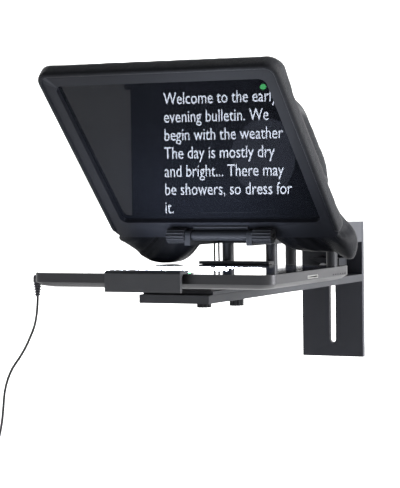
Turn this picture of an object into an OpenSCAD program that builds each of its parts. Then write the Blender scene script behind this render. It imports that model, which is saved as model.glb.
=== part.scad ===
// Tablet teleprompter: tray, tilting mirror, fabric hood, base rail and height-adjustable camera platform.
// Millimetres. The origin is the middle of the tripod thread, on the underside of the base rail.
// The talent looks from -Y, the camera looks along -Y, +X is the talent's right and +Z is up.

/* [Base rail] */
// Width of the rail, the tray plate, the platform and the riser plate
rail_w = 72; // [60:1:80]
// Thickness of the rail
rail_t = 8; // [6:0.5:12]
// Distance from the tripod thread forward to the rail's front end
rail_front = 184; // [184:1:200]
// Distance from the tripod thread back to the riser plate's front face
rail_back = 211; // [211:1:230]

/* [Tablet] */
// Length of the tablet's long side
tablet_l = 242.8; // [238:0.1:244]
// Length of the tablet's short side
tablet_d = 189.7; // [186:0.1:190]
// Thickness of the tablet
tablet_t = 13.4; // [12:0.1:13.4]
// Long side of the lit display
display_l = 196.6; // [190:0.1:200]
// Short side of the lit display
display_d = 147.5; // [140:0.1:150]

/* [Mirror frame] */
// Long side of the visible mirror glass
glass_l = 214; // [200:1:216]
// Sloping side of the visible mirror glass
glass_h = 184; // [170:1:186]
// Angle between the mirror and the tablet
mirror_angle = 45; // [44:0.5:46]
// Width of the frame's side bars
side_bar = 13.5; // [12:0.5:15]
// Width of the frame's top bar
top_bar = 15; // [12:0.5:18]
// Width of the frame's bottom bar
bottom_bar = 21; // [20:0.5:22]
// Thickness of the frame
frame_t = 10; // [9:0.5:12]

/* [Posts and platform] */
// Diameter of the four round posts
post_d = 11.8; // [10:0.1:13]
// Distance between the posts of a pair, middle to middle
post_gap = 48; // [46:1:48]
// Height of the platform's top face above the rail's underside, at its lowest
platform_top = 66; // [62:1:70]
// Depth of the platform from front to back
platform_d = 83; // [70:1:90]
// Height of the platform's side cheeks
cheek_h = 22.5; // [20:0.5:24]
// How far the riser plate hangs below the rail's underside
riser_drop = 84; // [60:1:90]
// Width of the slot in the riser plate
slot_w = 7; // [6.6:0.1:8]

/* [Lead] */
// Diameter of the lead
lead_d = 2.4; // [2:0.1:3]
// Number of turns stacked across the coil
coil_across = 3; // [2:1:4]
// Number of turns side by side along the coil
coil_along = 4; // [3:1:5]
// Diameter of the hood's drawstring
string_d = 1.8; // [1.5:0.1:2]

/* [Hidden] */
$fn = 48;
eps = 0.01;
fit = 0.05;                                  // radial clearance of a turning or sliding fit

// Tablet
tablet_bottom = 16.6;
tablet_top = tablet_bottom + tablet_t;
tablet_front = -235;
tablet_rear = tablet_front + tablet_d;
tablet_mid = tablet_front + tablet_d / 2;
rim_h = 8.5;                                 // height of the tablet's upright rim
cover_t = 1.2;                               // thickness of the tablet's cover glass
rim_w = 1.3;                                 // metal edge left around the cover glass

// Tray and clamps
tray_t = 3.2;
tray_top = rail_t + tray_t;
tray_front = -175;
tray_rear = -20;
clamp_w = 76;
arm_bottom = tray_top + 0.2;
arm_top = tablet_bottom - 0.2;
arm_w = 30;
arm_x = 18;                                  // middle of each clamp arm from the centre line
guide_x = 24;                                // line of the guide screws
brake_x = 10;                                // line of the clamp screws
wall_t = 4;
lip_t = 2.8;
lip_z = tablet_top + 0.4;
front_pad_t = 8;
rear_pad_t = 4;
pad_top = 27.5;
front_wall = tablet_front - front_pad_t - wall_t;
rear_wall = tablet_rear + rear_pad_t;
front_brake_y = -98;
rear_brake_y = -66;
front_guides = [-160, -118];
rear_guides = [-146, -98];

// Mirror frame, in its own plane: x across, y up the slope, z out of the front face
mirror_y = -82.5;                            // lower edge of the visible glass
mirror_z = 72.3;
frame_l = glass_l + 2 * side_bar;
frame_h = glass_h + top_bar + bottom_bar;
rebate = 4;                                  // how far the glass reaches under the frame
lip_depth = 5;                               // frame thickness in front of the glass
mirror_t = 3;
pivot_s = -10.6;                             // hinge axis, along the slope
pivot_out = 7.8;                             // hinge axis, out from the frame's face
pivot_y = mirror_y - pivot_s * cos(mirror_angle) - pivot_out * sin(mirror_angle);
pivot_z = mirror_z + pivot_s * sin(mirror_angle) - pivot_out * cos(mirror_angle);
rod_d = 5;

// Bracket and posts
front_post_y = -11;
rear_post_y = 151;
bracket_z = 50;
bracket_top = 62;
bracket_half = 6;                            // half the depth of the cross block
arm_in = 30;                                 // inner face of the bracket's arms
arm_out = 36;
platform_under = platform_top - 4;

// Hood board and sleeve
board_y = front_post_y + bracket_half + 0.3;
board_t = 3;
board_w = 124;
board_z0 = 64;
board_z1 = 200;
lens_z = 137;
lens_r = 48;

// Platform and riser
platform_y0 = rail_back - platform_d;
riser_t = 6;
bolt_z = 16;
slot_end = -65;
camera_slot_w = 8;
camera_slot_y = 168;
camera_slot_l = 50;
camera_shank_r = 2.9;

// Lead and drawstring routes: hand-chosen points from the exit onwards
plug_y = -214;
plug_x = -tablet_l / 2;
jack_z = 23.5;
cord_x = plug_x - 6;
coil_x = cord_x - 60;
coil_z = -193;
lead_route = [
    [cord_x, plug_y, 7], [cord_x - 0.4, plug_y, 0], [cord_x - 1.5, plug_y, -10], [cord_x - 4, plug_y, -21],
    [cord_x - 9, plug_y, -32], [cord_x - 15, plug_y, -43], [cord_x - 22, plug_y, -53],
    [cord_x - 29, plug_y, -62], [cord_x - 34.5, plug_y, -73], [cord_x - 38, plug_y, -85],
    [cord_x - 39.6, plug_y, -98], [cord_x - 41, plug_y, -110], [cord_x - 43.4, plug_y, -122],
    [cord_x - 47, plug_y, -134], [cord_x - 51.8, plug_y, -144.5], [coil_x + 3.4, plug_y, coil_z + 38],
    [coil_x + 3.6, plug_y, coil_z + 28], [coil_x + 8.6, plug_y, coil_z + 18],
    [coil_x + 13.5, plug_y, coil_z + 7.8]];
coil_mid_r = 13.2;
coil_in_r = coil_mid_r - coil_across * lead_d / 2;
coil_out_r = coil_mid_r + coil_across * lead_d / 2;
coil_len = coil_along * lead_d;
tail_route = [
    [coil_x + 13.5, plug_y, coil_z - 7.8], [coil_x + 11.6, plug_y, coil_z - 12.2],
    [coil_x + 10.4, plug_y, coil_z - 17.5], [coil_x + 10, plug_y, coil_z - 24]];
string_y = 9;
left_string = [
    [-43.8, string_y, 121], [-46.6, string_y, 116], [-48, string_y, 108], [-48.4, string_y, 96],
    [-48.2, string_y - 0.4, 82], [-48, string_y - 0.8, 68], [-48.1, string_y - 0.9, 52],
    [-48.3, string_y - 0.6, 36], [-48.2, string_y, 20]];
right_string = [
    [-39.6, string_y, 113.5], [-42.2, string_y, 109], [-43.4, string_y, 102], [-43.7, string_y, 91],
    [-43.5, string_y - 0.3, 78], [-43.2, string_y - 0.7, 66], [-43.3, string_y - 0.8, 53],
    [-43.5, string_y - 0.5, 40], [-43.4, string_y, 27]];

// ---------- shared shapes ----------

// Rounded rectangle from squares and circles, centred
module rounded(w, h, r) {
    square([w, h - 2 * r], center = true);
    square([w - 2 * r, h], center = true);
    for (sx = [-1, 1], sy = [-1, 1]) translate([sx * (w / 2 - r), sy * (h / 2 - r)]) circle(r);
}

// Flat block given by its two opposite corners
module block(low, high) {
    translate(low) cube(high - low);
}

// Same child at +x and -x
module both_sides(x) {
    for (s = [-1, 1]) translate([s * x, 0, 0]) children();
}

// Cylinder along X from x0 to x1
module bar_x(r, x0, x1) {
    translate([x0, 0, 0]) rotate([0, 90, 0]) cylinder(r = r, h = x1 - x0);
}

// Cylinder along Y from y0 to y1
module bar_y(r, y0, y1) {
    translate([0, y0, 0]) rotate([-90, 0, 0]) cylinder(r = r, h = y1 - y0);
}

// Slot seen from above, with round ends, along Y
module slot_y(w, y0, y1, z0, z1) {
    block([-w / 2, y0 + w / 2, z0], [w / 2, y1 - w / 2, z1]);
    for (y = [y0 + w / 2, y1 - w / 2]) translate([0, y, z0]) cylinder(d = w, h = z1 - z0);
}

// The mirror's own plane
module on_mirror() {
    translate([0, mirror_y, mirror_z]) rotate([180 - mirror_angle, 0, 0]) children();
}

// Knob with grip flutes, standing up from z = 0
module knob(r, h, flutes, bore_r) {
    difference() {
        cylinder(r = r, h = h);
        for (i = [0 : flutes - 1]) rotate(i * 360 / flutes)
            translate([r + 0.5, 0, -eps]) cylinder(r = 1.3, h = h + 1, $fn = 16);
        if (bore_r > 0) translate([0, 0, -eps]) cylinder(r = bore_r, h = h + 1);
    }
}

// Catmull-Rom point between b and c
function spline(a, b, c, d, t) =
    0.5 * ((2 * b) + (c - a) * t + (2 * a - 5 * b + 4 * c - d) * t * t
    + (3 * b - a - 3 * c + d) * t * t * t);
function smooth(p, parts) = let (n = len(p))
    [for (i = [0 : n - 2], k = [0 : parts - 1])
        spline(p[max(i - 1, 0)], p[i], p[i + 1], p[min(i + 2, n - 1)], k / parts), p[n - 1]];
function unit(v) = v / norm(v);
function heading(p, i) = unit(p[min(i + 1, len(p) - 1)] - p[max(i - 1, 0)]);
// Ring of sides around point i; routes stay close to a plane of constant Y
function ring(p, i, r, sides) = let (t = heading(p, i), u = unit(cross(t, [0, 1, 0])), v = cross(u, t))
    [for (k = [0 : sides - 1]) p[i] + r * (cos(k * 360 / sides) * u + sin(k * 360 / sides) * v)];

// Plain tube swept along a route
module tube(route, d, parts) {
    sides = 8;
    p = smooth(route, parts);
    n = len(p);
    points = [for (i = [0 : n - 1]) each ring(p, i, d / 2, sides)];
    walls = [for (i = [0 : n - 2], k = [0 : sides - 1])
        let (a = i * sides + k, b = i * sides + (k + 1) % sides) [a, b, b + sides, a + sides]];
    start = [for (k = [sides - 1 : -1 : 0]) k];
    finish = [for (k = [0 : sides - 1]) (n - 1) * sides + k];
    polyhedron(points, concat([start, finish], walls));
}

// ---------- base rail ----------

module base_rail() {
    color("#2c2d33") difference() {
        block([-rail_w / 2, -rail_front, 0], [rail_w / 2, rail_back - 0.3, rail_t]);
        for (y = [0, 30]) translate([0, y, -eps]) cylinder(r = 7, h = rail_t + 1);
        for (y = [front_post_y, rear_post_y]) both_sides(post_gap / 2) translate([0, y, -eps]) {
            cylinder(r = 2.6, h = rail_t + 1);
            cylinder(r = 5, h = 4.5);
        }
        for (y = [tray_front + 12, tray_rear - 12]) both_sides(30) translate([0, y, -eps]) {
            cylinder(r = 2.1, h = rail_t + 1);
            cylinder(r = 3.6, h = 3);
        }
        both_sides(10) translate([0, rail_back - 12, -eps]) {
            cylinder(r = 2.1, h = rail_t + 1);
            cylinder(r = 3.6, h = 3);
        }
        translate([-brake_x, front_brake_y, -eps]) cylinder(r = 2.5 + fit, h = rail_t + 1);
        translate([brake_x, rear_brake_y, -eps]) cylinder(r = 2.5 + fit, h = rail_t + 1);
    }
}

// Steel threaded bushes: 1/4 inch at the origin, 3/8 inch behind it
module tripod_inserts() {
    color("#b9b9bd") for (y = [0, 30]) translate([0, y, 0]) difference() {
        cylinder(r = 7, h = rail_t);
        translate([0, 0, -eps]) cylinder(r = y == 0 ? 3.175 : 4.7625, h = rail_t + 1);
    }
}

// Screws from below: two into the riser block and four into the tray plate
module tray_screws() {
    color("#8c8c90") {
        for (y = [tray_front + 12, tray_rear - 12]) both_sides(30) translate([0, y, 0.3]) {
            cylinder(r = 3.5, h = 2.6);
            cylinder(r = 2, h = tray_top - 1);
        }
        both_sides(10) translate([0, rail_back - 12, 0.3]) {
            cylinder(r = 3.5, h = 2.6);
            cylinder(r = 2, h = 13);
        }
    }
}

// ---------- tablet tray ----------

module tray_plate() {
    color("#2c2d33") difference() {
        block([-rail_w / 2, tray_front, rail_t], [rail_w / 2, tray_rear, tray_top]);
        for (y = [tray_front + 12, tray_rear - 12]) both_sides(30)
            translate([0, y, rail_t - eps]) cylinder(r = 2, h = tray_t - 0.6);
        translate([-brake_x, front_brake_y, rail_t - eps]) cylinder(r = 2.5 + fit, h = tray_t + 1);
        translate([brake_x, rear_brake_y, rail_t - eps]) cylinder(r = 2.5 + fit, h = tray_t + 1);
        for (y = front_guides) translate([-guide_x, y, rail_t + 0.5]) cylinder(r = 2.5, h = tray_t);
        for (y = rear_guides) translate([guide_x, y, rail_t + 0.5]) cylinder(r = 2.5, h = tray_t);
    }
}

// Stepped slot that an arm slides along, held down by two low-headed screws
module guide_slot(x, y0, y1) {
    translate([x, 0, 0]) {
        slot_y(5.4, y0, y1, arm_bottom - 1, arm_top + 1);
        slot_y(9.6, y0 - 2.1, y1 + 2.1, arm_top - 2.5, arm_top + 1);
    }
}

// Upright jaw with a rounded lip over the tablet's edge. out is -1 for the front jaw and 1 for the rear
module jaw(y_wall, out, z_low, reach) {
    y_inner = out < 0 ? y_wall + wall_t : y_wall;
    y_outer = out < 0 ? y_wall : y_wall + wall_t;
    block([-clamp_w / 2, y_wall, z_low], [clamp_w / 2, y_wall + wall_t, lip_z + eps]);
    block([-clamp_w / 2, min(y_inner - out * reach, y_outer - out * lip_t), lip_z],
          [clamp_w / 2, max(y_inner - out * reach, y_outer - out * lip_t), lip_z + lip_t]);
    translate([0, y_outer - out * lip_t, lip_z]) bar_x(lip_t, -clamp_w / 2, clamp_w / 2);
}

module front_clamp() {
    thin_to = -190;
    color("#3e3f43") difference() {
        union() {
            jaw(front_wall, -1, 14, front_pad_t + 5);
            block([-arm_x - arm_w / 2, front_wall + wall_t - 1, 14],
                  [-arm_x + arm_w / 2, thin_to + 1, arm_top]);
            block([-arm_x - arm_w / 2, thin_to, arm_bottom], [-arm_x + arm_w / 2, -60, arm_top]);
        }
        guide_slot(-guide_x, -164, -92);
    }
}

module front_clamp_pad() {
    color("#1d1d20") block([-30, front_wall + wall_t, 17], [30, tablet_front - 0.1, pad_top]);
}

module rear_clamp() {
    color("#3e3f43") difference() {
        union() {
            jaw(rear_wall, 1, arm_bottom, rear_pad_t + 5);
            block([arm_x - arm_w / 2, -172, arm_bottom], [arm_x + arm_w / 2, rear_wall + 1, arm_top]);
        }
        guide_slot(guide_x, -168, -90);
    }
}

module rear_clamp_pad() {
    color("#1d1d20") block([-30, tablet_rear + 0.1, 21.8], [30, rear_wall, pad_top]);
}

module guide_screw() {
    cylinder(r = 2.5, h = arm_top - 2.3 - rail_t - 0.5);
    translate([0, 0, arm_top - 2.3 - rail_t - 0.5]) cylinder(r = 4.5, h = 2);
}

module clamp_guide_screws() {
    color("#8c8c90") {
        for (y = front_guides) translate([-guide_x, y, rail_t + 0.5]) guide_screw();
        for (y = rear_guides) translate([guide_x, y, rail_t + 0.5]) guide_screw();
    }
}

// Thumb screw whose tip bears on the arm above it
module clamp_screw() {
    color("#232428") {
        translate([0, 0, -9.3]) knob(7, 9, 12, 0);
        translate([0, 0, -1]) cylinder(r = 2.5, h = arm_bottom + 0.9);
    }
}

module front_clamp_screw() {
    translate([-brake_x, front_brake_y, 0]) clamp_screw();
}

module rear_clamp_screw() {
    translate([brake_x, rear_brake_y, 0]) clamp_screw();
}

// ---------- posts, bracket and hinge ----------

module front_posts() {
    color("#35363c") both_sides(post_gap / 2) translate([0, front_post_y, rail_t]) difference() {
        cylinder(d = post_d, h = bracket_z - rail_t);
        translate([0, 0, -eps]) cylinder(r = 2.5, h = 14);
        translate([0, 0, bracket_z - rail_t - 12]) cylinder(r = 2.5, h = 13);
    }
}

module rear_posts() {
    color("#35363c") both_sides(post_gap / 2) translate([0, rear_post_y, rail_t]) difference() {
        cylinder(d = post_d, h = platform_under - 2.8 - rail_t);
        translate([0, 0, -eps]) cylinder(r = 2.5, h = 14);
    }
}

module rear_post_caps() {
    color("#1a1a1c") both_sides(post_gap / 2)
        translate([0, rear_post_y, platform_under - 2.8]) cylinder(d = post_d, h = 2.5);
}

module post_screws() {
    color("#8c8c90") for (y = [front_post_y, rear_post_y]) both_sides(post_gap / 2)
        translate([0, y, 0.3]) {
            cylinder(r = 4.8, h = 4);
            cylinder(r = 2.5, h = rail_t + 12);
        }
}

module mirror_bracket() {
    color("#2c2d33") difference() {
        union() {
            block([-arm_out, front_post_y - bracket_half, bracket_z],
                  [arm_out, front_post_y + bracket_half, bracket_top]);
            for (s = [0, 1]) mirror([s, 0, 0]) {
                block([arm_in, pivot_y - 5.5, bracket_z], [arm_out, front_post_y, bracket_z + 6]);
                block([arm_in, pivot_y - 5.5, bracket_z], [arm_out, pivot_y + 5.5, pivot_z]);
                translate([0, pivot_y, pivot_z]) bar_x(5.5, arm_in, arm_out);
            }
        }
        translate([0, pivot_y, pivot_z]) bar_x(rod_d / 2 + fit, -40, 40);
        both_sides(post_gap / 2) translate([0, front_post_y, bracket_z - 1]) {
            cylinder(r = 2.5, h = 20);
            translate([0, 0, bracket_top - bracket_z - 3.5]) cylinder(r = 5, h = 10);
        }
        both_sides(12) translate([0, 0, bracket_z + 6]) bar_y(1.9, front_post_y, front_post_y + 10);
    }
}

// Screws sunk into the cross block, down into the front posts
module bracket_screws() {
    color("#8c8c90") both_sides(post_gap / 2) translate([0, front_post_y, bracket_top - 4.5]) {
        cylinder(r = 4.8, h = 4);
        translate([0, 0, -18.5]) cylinder(r = 2.5, h = 19);
    }
}

module hinge_rod() {
    color("#9a9a9e") translate([0, pivot_y, pivot_z]) bar_x(rod_d / 2, -53, 53);
}

module tilt_knob_right() {
    color("#6f6e6e") translate([arm_out + 0.4, pivot_y, pivot_z]) rotate([0, 90, 0])
        knob(7.3, 19.6, 14, rod_d / 2 + fit);
}

module tilt_knob_left() {
    mirror([1, 0, 0]) tilt_knob_right();
}

// Leaf on the frame's lower bar with the barrel that the rod runs through
module hinge_plate() {
    half = arm_in - 0.6;
    color("#34353b") on_mirror() difference() {
        union() {
            block([-half, -bottom_bar + 1, 0], [half, -4, 2.4]);
            block([-half, pivot_s - 3, 1], [half, pivot_s + 3, pivot_out]);
            translate([0, pivot_s, pivot_out]) bar_x(4.6, -half, half);
        }
        translate([0, pivot_s, pivot_out]) bar_x(rod_d / 2, -40, 40);
    }
}

// ---------- mirror ----------

module frame_outline() {
    translate([0, (glass_h + top_bar - bottom_bar) / 2]) rounded(frame_l, frame_h, 11);
}

module window_outline(grow, r) {
    translate([0, glass_h / 2]) rounded(glass_l + 2 * grow, glass_h + 2 * grow, r);
}

// Middles of the screws that hold the retainer, around the rebate
function retainer_points() = let (x = glass_l / 2 + 7.5, low = -7.5, high = glass_h + 7.5)
    [for (sx = [-1, 1], y = [20, glass_h / 2, glass_h - 20]) [sx * x, y],
     for (sx = [-1, 0, 1], y = [low, high]) [sx * 70, y]];

module mirror_frame() {
    color("#26292f") on_mirror() difference() {
        translate([0, 0, -frame_t]) linear_extrude(frame_t) frame_outline();
        translate([0, 0, -frame_t - 1]) linear_extrude(frame_t + 2) window_outline(0, 7);
        translate([0, 0, -frame_t - 1]) linear_extrude(frame_t + 1 - lip_depth) window_outline(rebate, 3);
        for (s = [-1, 1])
            block([s * 33 - 4.2, -bottom_bar - 1, -frame_t - 1], [s * 33 + 4.2, -9, 1]);
        for (p = retainer_points()) translate([p[0], p[1], -frame_t - 1]) cylinder(r = 1.25, h = 5, $fn = 24);
    }
}

module mirror_glass() {
    color("#9db4bd", 0.4) on_mirror() translate([0, 0, -lip_depth - mirror_t])
        linear_extrude(mirror_t) window_outline(rebate - 0.3, 2.7);
}

module glass_gasket() {
    gasket_t = frame_t - lip_depth - mirror_t;
    color("#17171a") on_mirror() translate([0, 0, -frame_t]) linear_extrude(gasket_t) difference() {
        window_outline(rebate - 0.4, 2.6);
        window_outline(-1, 2);
    }
}

module glass_retainer() {
    color("#2c2d33") on_mirror() translate([0, 0, -frame_t - 1.6]) difference() {
        linear_extrude(1.6) difference() {
            window_outline(10, 6);
            window_outline(1, 3);
        }
        for (p = retainer_points()) translate([p[0], p[1], -1]) cylinder(r = 1.25, h = 5, $fn = 24);
        for (s = [-1, 1]) block([s * 33 - 4.2, -20, -1], [s * 33 + 4.2, -9, 5]);
    }
}

module retainer_screws() {
    color("#8c8c90") on_mirror() for (p = retainer_points()) translate([p[0], p[1], -frame_t - 1.6]) {
        translate([0, 0, -0.6]) cylinder(r = 2.3, h = 0.6, $fn = 24);
        cylinder(r = 1.25, h = 5.2, $fn = 24);
    }
}

// ---------- hood ----------

// Thin slab behind the mirror frame; pull makes it smaller all round
module hood_front(pull, thick) {
    on_mirror() translate([0, (glass_h + top_bar - bottom_bar) / 2, -frame_t - 2.6 - thick])
        linear_extrude(thick) rounded(frame_l - 2 * pull, frame_h - 2 * pull, 10);
}

// Thin slab in front of the board
module hood_back(pull, thick) {
    translate([0, board_y - 0.4, (board_z0 + board_z1) / 2]) rotate([90, 0, 0])
        linear_extrude(thick) rounded(board_w - 2 * pull, board_z1 - board_z0 - 2 * pull, 40 - pull);
}

// The slack fabric that sags below the frame on each side
module hood_lobe(pull) {
    hull() {
        translate([-80.5, -44, 57]) scale([1.7, 0.9, 1]) sphere(r = 25.5 - pull, $fn = 32);
        translate([-84, -62, 104]) scale([1, 1.1, 1]) sphere(r = 18 - pull, $fn = 24);
    }
    hull() {
        translate([84, -36, 62]) scale([1.55, 0.9, 1]) sphere(r = 25.5 - pull, $fn = 32);
        translate([84, -60, 108]) scale([1, 1.1, 1]) sphere(r = 18 - pull, $fn = 24);
    }
}

module hood() {
    wall = 2.5;
    color("#3a3c42") difference() {
        union() {
            hull($fn = 32) {
                hood_front(0.5, 1);
                hood_back(-1, 1);
            }
            hood_lobe(0);
        }
        hull($fn = 32) {
            hood_front(wall, 2);
            translate([0, -frame_t, -frame_t]) hood_front(wall, 2);
            hood_back(wall, 2);
        }
        hull($fn = 32) {
            hood_back(wall, 2);
            translate([0, 3, 0]) hood_back(wall, 2);
        }
        on_mirror() translate([0, glass_h / 2 - 3, -frame_t - 2.65])
            linear_extrude(frame_t + 30) square([frame_l + 40, frame_h + 60], center = true);
        hood_lobe(wall);
    }
}

module hood_board() {
    color("#1f2024") difference() {
        union() {
            translate([0, board_y + board_t, (board_z0 + board_z1) / 2]) rotate([90, 0, 0])
                linear_extrude(board_t) rounded(board_w, board_z1 - board_z0, 40);
            block([-30, board_y, bracket_z + 0.5], [30, board_y + board_t, board_z0 + 6]);
        }
        translate([0, 0, lens_z]) bar_y(lens_r, board_y - 1, board_y + board_t + 1);
        both_sides(12) translate([0, 0, bracket_z + 6]) bar_y(1.9, board_y - 1, board_y + board_t + 1);
    }
}

module board_screws() {
    color("#8c8c90") both_sides(12) translate([0, 0, bracket_z + 6]) {
        bar_y(1.9, front_post_y + 0.5, board_y + board_t);
        bar_y(3.5, board_y + board_t, board_y + board_t + 1.8);
    }
}

// Fabric collar that closes around the lens
module lens_sleeve() {
    y0 = board_y + board_t + 0.3;
    depth = 34;
    color("#26272c") translate([0, y0, lens_z]) rotate([-90, 0, 0]) rotate_extrude($fn = 48)
        polygon([[lens_r - 2, 0], [lens_r + 2, 0], [lens_r - 1, depth * 0.5], [lens_r - 7, depth],
                 [lens_r - 10, depth], [lens_r - 4, depth * 0.5]]);
}

module drawstring_left() {
    color("#101012") tube(left_string, string_d, 2);
}

module drawstring_right() {
    color("#101012") tube(right_string, string_d, 2);
}

module string_knots() {
    color("#101012") for (p = [left_string[8], right_string[8]])
        translate(p - [0, 0, 1.9]) sphere(r = 1.9, $fn = 24);
}

// ---------- camera platform and riser ----------

module camera_platform() {
    cheek_t = 3;
    z0 = platform_top - cheek_h;
    color("#2c2d33") difference() {
        union() {
            block([-rail_w / 2, platform_y0, platform_under], [rail_w / 2, rail_back, platform_top]);
            for (s = [0, 1]) mirror([s, 0, 0])
                block([rail_w / 2 - cheek_t, platform_y0, z0], [rail_w / 2, rail_back, platform_top]);
            block([-rail_w / 2, rail_back - 4, z0], [rail_w / 2, rail_back, platform_top]);
        }
        slot_y(camera_slot_w, camera_slot_y - camera_slot_l / 2, camera_slot_y + camera_slot_l / 2,
               platform_under - 1, platform_top + 1);
        both_sides(22) translate([0, 0, 55]) bar_y(2, rail_back - 5, rail_back + 1);
    }
}

module riser_plate() {
    top_end = bolt_z + slot_w / 2 + 0.5;
    color("#2c2f39") difference() {
        block([-rail_w / 2, rail_back, -riser_drop], [rail_w / 2, rail_back + riser_t, platform_top]);
        block([-slot_w / 2, rail_back - 1, slot_end],
              [slot_w / 2, rail_back + riser_t + 1, top_end - slot_w / 2]);
        for (z = [slot_end, top_end - slot_w / 2])
            translate([0, 0, z]) bar_y(slot_w / 2, rail_back - 1, rail_back + riser_t + 1);
        both_sides(22) translate([0, 0, 55]) bar_y(2, rail_back - 1, rail_back + riser_t + 1);
    }
}

module riser_screws() {
    color("#8c8c90") both_sides(22) translate([0, 0, 55]) {
        bar_y(2, rail_back - 4, rail_back + riser_t);
        bar_y(3.8, rail_back + riser_t, rail_back + riser_t + 2.4);
    }
}

// Block on the rail's rear end that the riser plate is clamped against
module riser_block() {
    color("#2c2d33") difference() {
        block([-18, rail_back - 24, rail_t], [18, rail_back - 0.3, 26]);
        translate([0, 0, bolt_z]) bar_y(3, rail_back - 25, rail_back + 1);
        both_sides(10) translate([0, rail_back - 12, rail_t - eps]) cylinder(r = 2, h = 5.3);
    }
}

module riser_stud() {
    color("#8c8c90") translate([0, 0, bolt_z]) {
        bar_y(3, rail_back - 23.7, rail_back + riser_t + 18);
        bar_y(5, rail_back - 27, rail_back - 24.3);
        bar_y(3, rail_back - 24.4, rail_back - 23.6);
    }
}

module riser_washer() {
    color("#8c8c90") translate([0, 0, bolt_z]) difference() {
        bar_y(9, rail_back + riser_t + 0.3, rail_back + riser_t + 1.8);
        bar_y(3.1, rail_back, rail_back + riser_t + 3);
    }
}

module riser_knob() {
    color("#1f2024") translate([0, rail_back + riser_t + 2.1, bolt_z]) rotate([-90, 0, 0]) {
        difference() {
            union() {
                knob(15, 13, 8, 3 + fit);
                cylinder(r = 8, h = 14.5);
            }
            translate([0, 0, -1]) cylinder(r = 3 + fit, h = 20);
        }
    }
}

// Captive washer that slides along the platform's slot with the camera screw
module camera_washer() {
    color("#1a1a1c") translate([0, camera_slot_y, platform_under - 1.8]) difference() {
        cylinder(r = 8, h = 1.5);
        translate([0, 0, -1]) cylinder(r = camera_shank_r + fit, h = 4);
    }
}

module camera_screw() {
    knob_top = platform_under - 2;
    color("#8c8c90") translate([0, camera_slot_y, 0]) {
        translate([0, 0, knob_top - 8]) knob(10, 8, 14, 0);
        translate([0, 0, knob_top - 1]) cylinder(r = camera_shank_r, h = platform_top + 0.2 - knob_top + 1);
        translate([0, 0, platform_top + 0.2]) cylinder(r = 3.175, h = 5.5);
    }
}

// ---------- tablet ----------

module tablet_outline(pull) {
    translate([0, tablet_mid]) rounded(tablet_l - 2 * pull, tablet_d - 2 * pull, 11);
}

module tablet_shell() {
    floor_z = tablet_bottom + 1.4;
    dock_z = tablet_top - 6;
    color("#47484c") difference() {
        hull() {
            translate([0, 0, tablet_top - rim_h]) linear_extrude(rim_h, $fn = 32) tablet_outline(0);
            translate([0, 0, tablet_bottom + 1.5]) linear_extrude(0.5, $fn = 32) tablet_outline(4);
            translate([0, 0, tablet_bottom]) linear_extrude(0.5, $fn = 32) tablet_outline(11);
        }
        translate([0, 0, tablet_top - cover_t]) linear_extrude(5, $fn = 32) tablet_outline(rim_w);
        translate([0, 0, floor_z]) linear_extrude(20) translate([0, tablet_mid])
            square([tablet_l - 24, tablet_d - 24], center = true);
        translate([0, 0, tablet_top - 6.5]) linear_extrude(20) translate([0, tablet_mid])
            square([tablet_l - 8, tablet_d - 8], center = true);
        // dock port, speaker slots, jack, side buttons and volume rocker
        block([tablet_l / 2 - 6, tablet_mid - 13, dock_z - 1.6],
              [tablet_l / 2 + 1, tablet_mid + 13, dock_z + 1.6]);
        for (i = [0 : 5]) translate([0, tablet_rear - 45 + i * 6, dock_z - 0.7])
            bar_x(0.9, tablet_l / 2 - 6, tablet_l / 2 + 1);
        translate([0, plug_y, jack_z]) bar_x(3.2, -tablet_l / 2 - 1, -tablet_l / 2 + 16);
        block([-tablet_l / 2 - 1, tablet_rear - 36, jack_z - 1.6],
              [-tablet_l / 2 + 6, tablet_rear - 25, jack_z + 1.6]);
        block([-84, tablet_rear - 6, jack_z - 1.6], [-64, tablet_rear + 1, jack_z + 1.6]);
        block([-54, tablet_rear - 6, jack_z - 1.6], [-46, tablet_rear + 1, jack_z + 1.6]);
    }
}

// Two flat cells side by side
module tablet_battery() {
    color("#303236") for (s = [-1, 1])
        block([s * 42 - 38, tablet_mid - 68, tablet_bottom + 1.6],
              [s * 42 + 38, tablet_mid + 68, tablet_top - 7.5]);
}

module tablet_board() {
    color("#1d4a35") block([90, tablet_mid - 70, tablet_bottom + 1.8],
                           [107, tablet_mid + 70, tablet_bottom + 3.4]);
    color("#26272b") for (y = [-40, 0, 40])
        block([93, tablet_mid + y - 8, tablet_bottom + 3.4], [104, tablet_mid + y + 8, tablet_bottom + 4.6]);
}

module tablet_display() {
    color("#0b0d14") translate([0, tablet_mid, tablet_top - cover_t - 3]) linear_extrude(2.8)
        square([display_l, display_d], center = true);
}

module tablet_glass() {
    color("#0e0f12") difference() {
        translate([0, 0, tablet_top - cover_t]) linear_extrude(cover_t, $fn = 32) tablet_outline(rim_w + 0.1);
        translate([110.5, tablet_mid, tablet_top - 2]) cylinder(r = 5.9, h = 3);
    }
}

module tablet_dock_port() {
    color("#c9c9cc") difference() {
        block([tablet_l / 2 - 5.6, tablet_mid - 12.8, tablet_top - 7.4],
              [tablet_l / 2 - 0.2, tablet_mid + 12.8, tablet_top - 4.6]);
        block([tablet_l / 2 - 4.6, tablet_mid - 11.8, tablet_top - 6.8],
              [tablet_l / 2 + 1, tablet_mid + 11.8, tablet_top - 5.2]);
    }
}

module tablet_jack() {
    color("#1a1a1c") translate([0, plug_y, jack_z]) difference() {
        bar_x(3.2, -tablet_l / 2 + 0.2, -tablet_l / 2 + 15.8);
        bar_x(1.8, -tablet_l / 2 - 1, -tablet_l / 2 + 15);
    }
}

module home_button() {
    color("#0e0f12") translate([110.5, tablet_mid, tablet_top - cover_t + 0.6]) difference() {
        cylinder(r = 5.7, h = 0.5);
        translate([0, 0, 6.25]) sphere(r = 6, $fn = 32);
    }
}

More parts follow.
